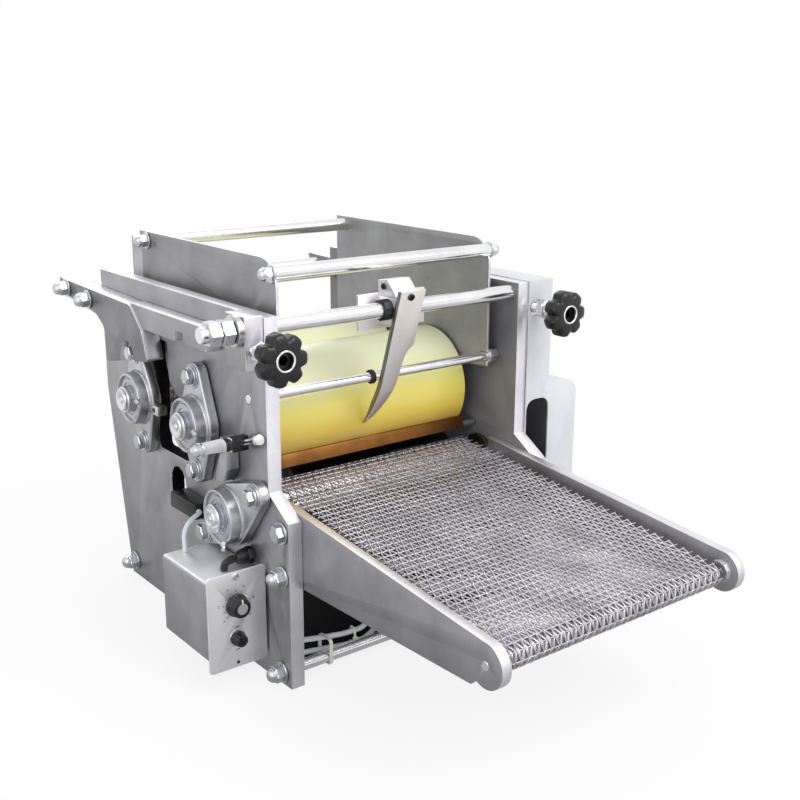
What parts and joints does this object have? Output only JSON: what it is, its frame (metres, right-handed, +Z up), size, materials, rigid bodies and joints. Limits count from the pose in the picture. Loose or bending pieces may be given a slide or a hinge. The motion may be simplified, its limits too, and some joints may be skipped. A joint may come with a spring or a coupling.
{
  "type": "tortilla sheeter",
  "caption": "Electric tabletop tortilla machine: dough trough over geared rollers, divider blade, scraper, wire-mesh outfeed belt, star-knob gap screws, flange bearings and control box.",
  "frame": {"origin": "middle of the footprint at table height", "axes": "+X to the gear side, +Y from the outfeed end to the back, +Z up"},
  "size_m": [0.482, 0.7464, 0.41],
  "materials": {
    "machined_steel": "milled and ground steel plate, satin",
    "bright_steel": "turned and polished rod and plated fasteners",
    "bearing_iron": "cast housing with a plain grey coat",
    "dark_steel": "dark grey painted steel",
    "gear_steel": "cut steel gear, lightly oiled",
    "sheet_steel": "stainless sheet, brushed",
    "wire_mesh": "woven stainless wire",
    "roller_coat": "cast food-grade polymer, polished by use",
    "cover_paint": "pale powder coat on sheet steel",
    "box_paint": "grey powder coat",
    "black_plastic": "moulded black plastic",
    "motor_paint": "black enamel",
    "copper": "copper strip and bronze bushes",
    "cable_sheath": "light grey cable sheath",
    "white_plastic": "moulded white nylon"
  },
  "bodies": {
    "frame": {"left_side_plate": "machined_steel", "right_side_plate": "machined_steel", "left_front_block": "machined_steel", "right_front_block": "machined_steel", "divider_rod": "bright_steel", "guide_rod": "bright_steel", "front_tie_rod": "bright_steel", "rear_tie_rod": "bright_steel", "left_hopper_wall": "sheet_steel", "right_hopper_wall": "sheet_steel", "front_hopper_rod": "bright_steel", "rear_hopper_rod": "bright_steel", "front_left_bearing": "bearing_iron", "lower_left_bearing": "bearing_iron", "front_right_bush": "copper", "lower_right_bush": "copper", "left_conveyor_arm": "machined_steel", "right_conveyor_arm": "machined_steel", "conveyor_belt": "wire_mesh", "gearbox": "dark_steel", "gear_motor": "motor_paint", "gear_cover": "cover_paint", "control_box": "box_paint", "control_panel": "sheet_steel", "cable_gland": "black_plastic", "cable_clamp": "black_plastic", "control_cable": "cable_sheath", "upper_motor_cable": "cable_sheath", "lower_motor_cable": "cable_sheath", "cable_tie": "white_plastic", "scraper_adjuster": "bright_steel"},
    "carriage": {"left_horn_bracket": "dark_steel", "right_horn_bracket": "dark_steel", "left_pull_bar": "machined_steel", "right_pull_bar": "machined_steel", "rear_left_bearing": "bearing_iron", "rear_right_slide_block": "copper", "lower_horn_rod": "bright_steel", "upper_horn_rod": "bright_steel"},
    "front_roller_set": {"front_roller": "roller_coat", "front_roller_shaft": "bright_steel", "front_roller_gear": "gear_steel"},
    "rear_roller_set": {"rear_roller": "roller_coat", "rear_roller_shaft": "bright_steel", "rear_roller_gear": "gear_steel"},
    "conveyor_drive": {"drive_roller": "gear_steel", "conveyor_gear": "gear_steel"},
    "tail_idler": {"tail_roller": "bright_steel"},
    "support_idler": {"support_roller": "bright_steel"},
    "motor_drive": {"motor_pinion": "gear_steel"},
    "left_knob": {"left_star_knob": "black_plastic", "left_adjusting_screw": "bright_steel"},
    "right_knob": {"right_star_knob": "black_plastic", "right_adjusting_screw": "bright_steel"},
    "scraper": {"scraper_shaft": "bright_steel", "scraper_blade": "copper"},
    "divider": {"divider_block": "dark_steel", "divider_blade": "sheet_steel"},
    "dial": {"speed_dial": "black_plastic"},
    "switch": {"run_switch": "black_plastic"}
  },
  "joints": [
    {"name": "front_roller_spin", "type": "hinge", "parent": "frame", "child": "front_roller_set", "pos_m": [-0.007, 0.06027, 0.236], "axis": [1, 0, 0], "continuous": true},
    {"name": "carriage_slide", "type": "slide", "parent": "frame", "child": "carriage", "axis": [0, 1, 0], "range_m": [0, 0.004]},
    {"name": "rear_roller_spin", "type": "hinge", "parent": "carriage", "child": "rear_roller_set", "pos_m": [-0.007, 0.18827, 0.236], "axis": [1, 0, 0], "continuous": true},
    {"name": "conveyor_drive_spin", "type": "hinge", "parent": "frame", "child": "conveyor_drive", "pos_m": [-0.007, -0.00364, 0.15651], "axis": [1, 0, 0], "continuous": true},
    {"name": "support_roller_spin", "type": "hinge", "parent": "frame", "child": "support_idler", "pos_m": [-0.007, -0.0417, 0.165], "axis": [1, 0, 0], "continuous": true},
    {"name": "tail_roller_spin", "type": "hinge", "parent": "frame", "child": "tail_idler", "pos_m": [-0.007, -0.35323, 0.133], "axis": [1, 0, 0], "continuous": true},
    {"name": "motor_spin", "type": "hinge", "parent": "frame", "child": "motor_drive", "pos_m": [-0.007, 0.09481, 0.1379], "axis": [1, 0, 0], "continuous": true},
    {"name": "left_knob_turn", "type": "hinge", "parent": "frame", "child": "left_knob", "pos_m": [-0.1855, -0.09523, 0.334], "axis": [0, 1, 0], "range_deg": [0, 720]},
    {"name": "right_knob_turn", "type": "hinge", "parent": "frame", "child": "right_knob", "pos_m": [0.1715, -0.09523, 0.334], "axis": [0, 1, 0], "range_deg": [0, 720]},
    {"name": "scraper_tilt", "type": "hinge", "parent": "frame", "child": "scraper", "pos_m": [-0.007, 0.00695, 0.19149], "axis": [1, 0, 0], "range_deg": [0, 4]},
    {"name": "divider_lift", "type": "hinge", "parent": "frame", "child": "divider", "pos_m": [-0.007, -0.04923, 0.352], "axis": [-1, 0, 0], "range_deg": [0, 70]},
    {"name": "speed_dial_turn", "type": "hinge", "parent": "frame", "child": "dial", "pos_m": [-0.21, -0.05523, 0.085], "axis": [0, 1, 0], "range_deg": [-150, 150]},
    {"name": "run_switch_turn", "type": "hinge", "parent": "frame", "child": "switch", "pos_m": [-0.21, -0.05523, 0.05], "axis": [0, 1, 0], "range_deg": [0, 90]}
  ],
  "couplings": [
    {"joint": "rear_roller_spin", "follows": "front_roller_spin", "ratio": -1},
    {"joint": "conveyor_drive_spin", "follows": "front_roller_spin", "ratio": -1.6842},
    {"joint": "motor_spin", "follows": "front_roller_spin", "ratio": -1.6},
    {"joint": "support_roller_spin", "follows": "front_roller_spin", "ratio": -4.3368},
    {"joint": "tail_roller_spin", "follows": "front_roller_spin", "ratio": -4.0343},
    {"joint": "left_knob_turn", "follows": "carriage_slide", "rad_per_m": 3141.6},
    {"joint": "right_knob_turn", "follows": "carriage_slide", "rad_per_m": 3141.6}
  ]
}
